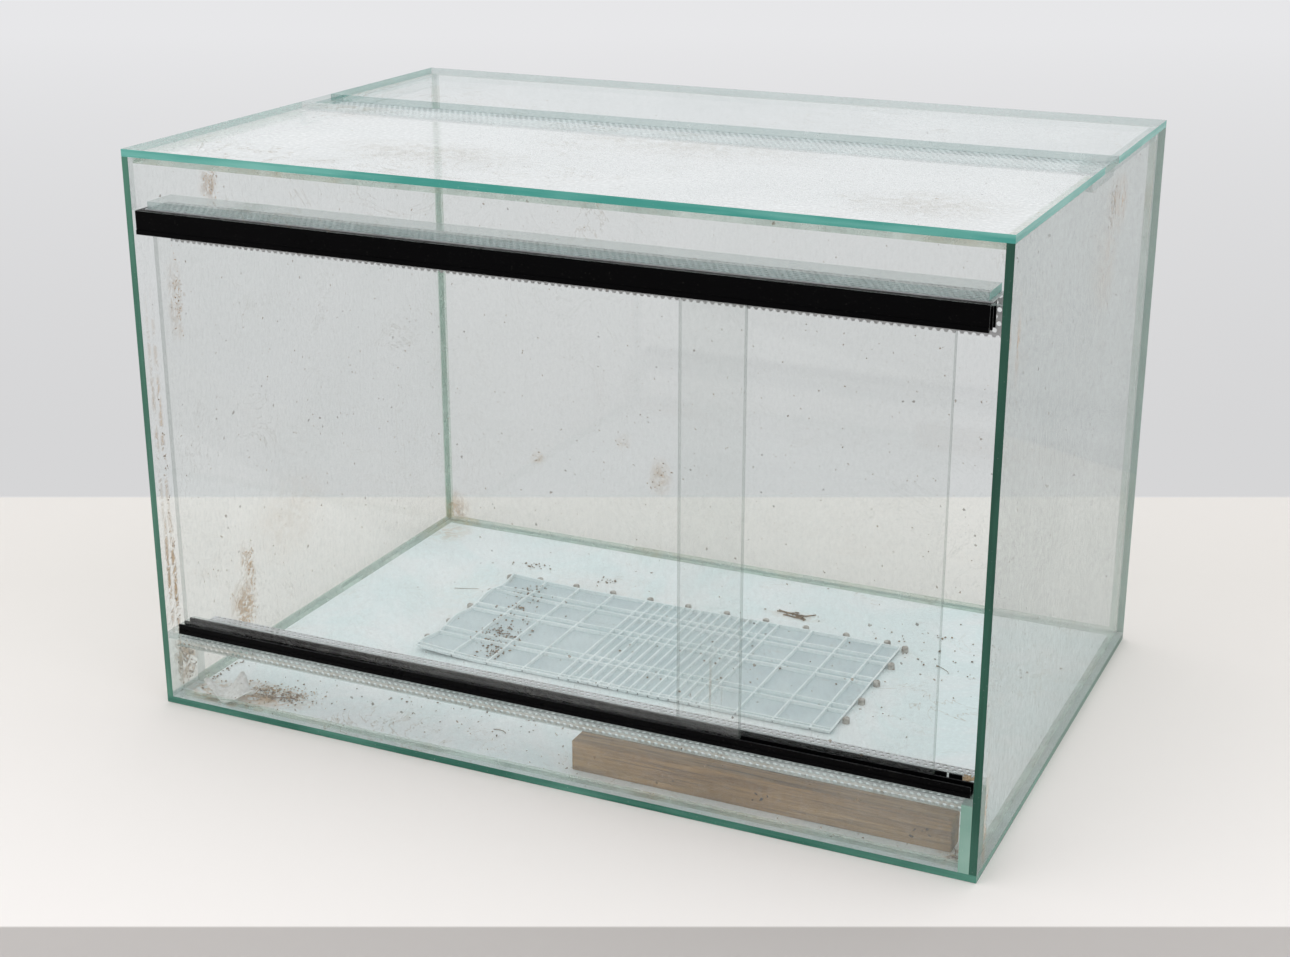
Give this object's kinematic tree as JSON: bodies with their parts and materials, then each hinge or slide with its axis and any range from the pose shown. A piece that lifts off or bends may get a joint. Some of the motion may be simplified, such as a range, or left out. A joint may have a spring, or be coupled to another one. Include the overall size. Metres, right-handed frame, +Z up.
{
  "type": "glass terrarium",
  "caption": "Glass terrarium box with sliding front doors in plastic tracks, a lift-off rear roof lid, perforated vent strips, a floor grid and a wooden batten inside.",
  "frame": {"origin": "middle of the underside of the base plate", "axes": "+X to the right along the width, +Y from the doors to the back, +Z up"},
  "size_m": [0.6, 0.4, 0.4],
  "materials": {
    "clear_glass": "float glass with green cut edges, lightly soiled",
    "door_glass": "thin float glass with ground edges, lightly soiled",
    "perforated_sheet": "plain mill finish, perforated",
    "black_plastic": "extruded black plastic",
    "silicone": "translucent sealant, yellowed in places",
    "grid_plastic": "translucent white moulded plastic",
    "peg_plastic": "soiled grey plastic",
    "weathered_wood": "bare weathered softwood"
  },
  "bodies": {
    "tank": {"base_plate": "clear_glass", "left_side_panel": "clear_glass", "right_side_panel": "clear_glass", "back_panel": "clear_glass", "lower_front_pane": "clear_glass", "ledge_post_left": "clear_glass", "ledge_post_right": "clear_glass", "lower_ledge": "clear_glass", "lower_vent_strip": "perforated_sheet", "lower_door_track": "black_plastic", "upper_fascia_pane": "clear_glass", "upper_ledge": "clear_glass", "upper_vent_strip": "perforated_sheet", "upper_door_track": "black_plastic", "roof_front_plate": "clear_glass", "roof_vent_strip": "perforated_sheet", "roof_filler_left": "clear_glass", "roof_filler_right": "clear_glass", "strip_tab_left": "clear_glass", "strip_tab_right": "clear_glass", "silicone_floor_rim": "silicone", "silicone_floor_front": "silicone", "silicone_back_left": "silicone", "silicone_back_right": "silicone", "silicone_roof_front": "silicone", "floor_grid": "grid_plastic", "grid_pegs": "peg_plastic", "wooden_batten": "weathered_wood"},
    "left_door": {"left_door": "door_glass"},
    "right_door": {"right_door": "door_glass"},
    "roof_lid": {"roof_lid": "clear_glass", "lid_cleat_left": "clear_glass", "lid_cleat_right": "clear_glass"}
  },
  "joints": [
    {"name": "left_door_slide", "type": "slide", "parent": "tank", "child": "left_door", "axis": [1, 0, 0], "range_m": [-0.013, 0.152]},
    {"name": "right_door_slide", "type": "slide", "parent": "tank", "child": "right_door", "axis": [1, 0, 0], "range_m": [-0.3915, 0.0275]},
    {"name": "roof_lid_lift", "type": "slide", "parent": "tank", "child": "roof_lid", "axis": [0, 0, 1], "range_m": [0, 0.06]}
  ]
}
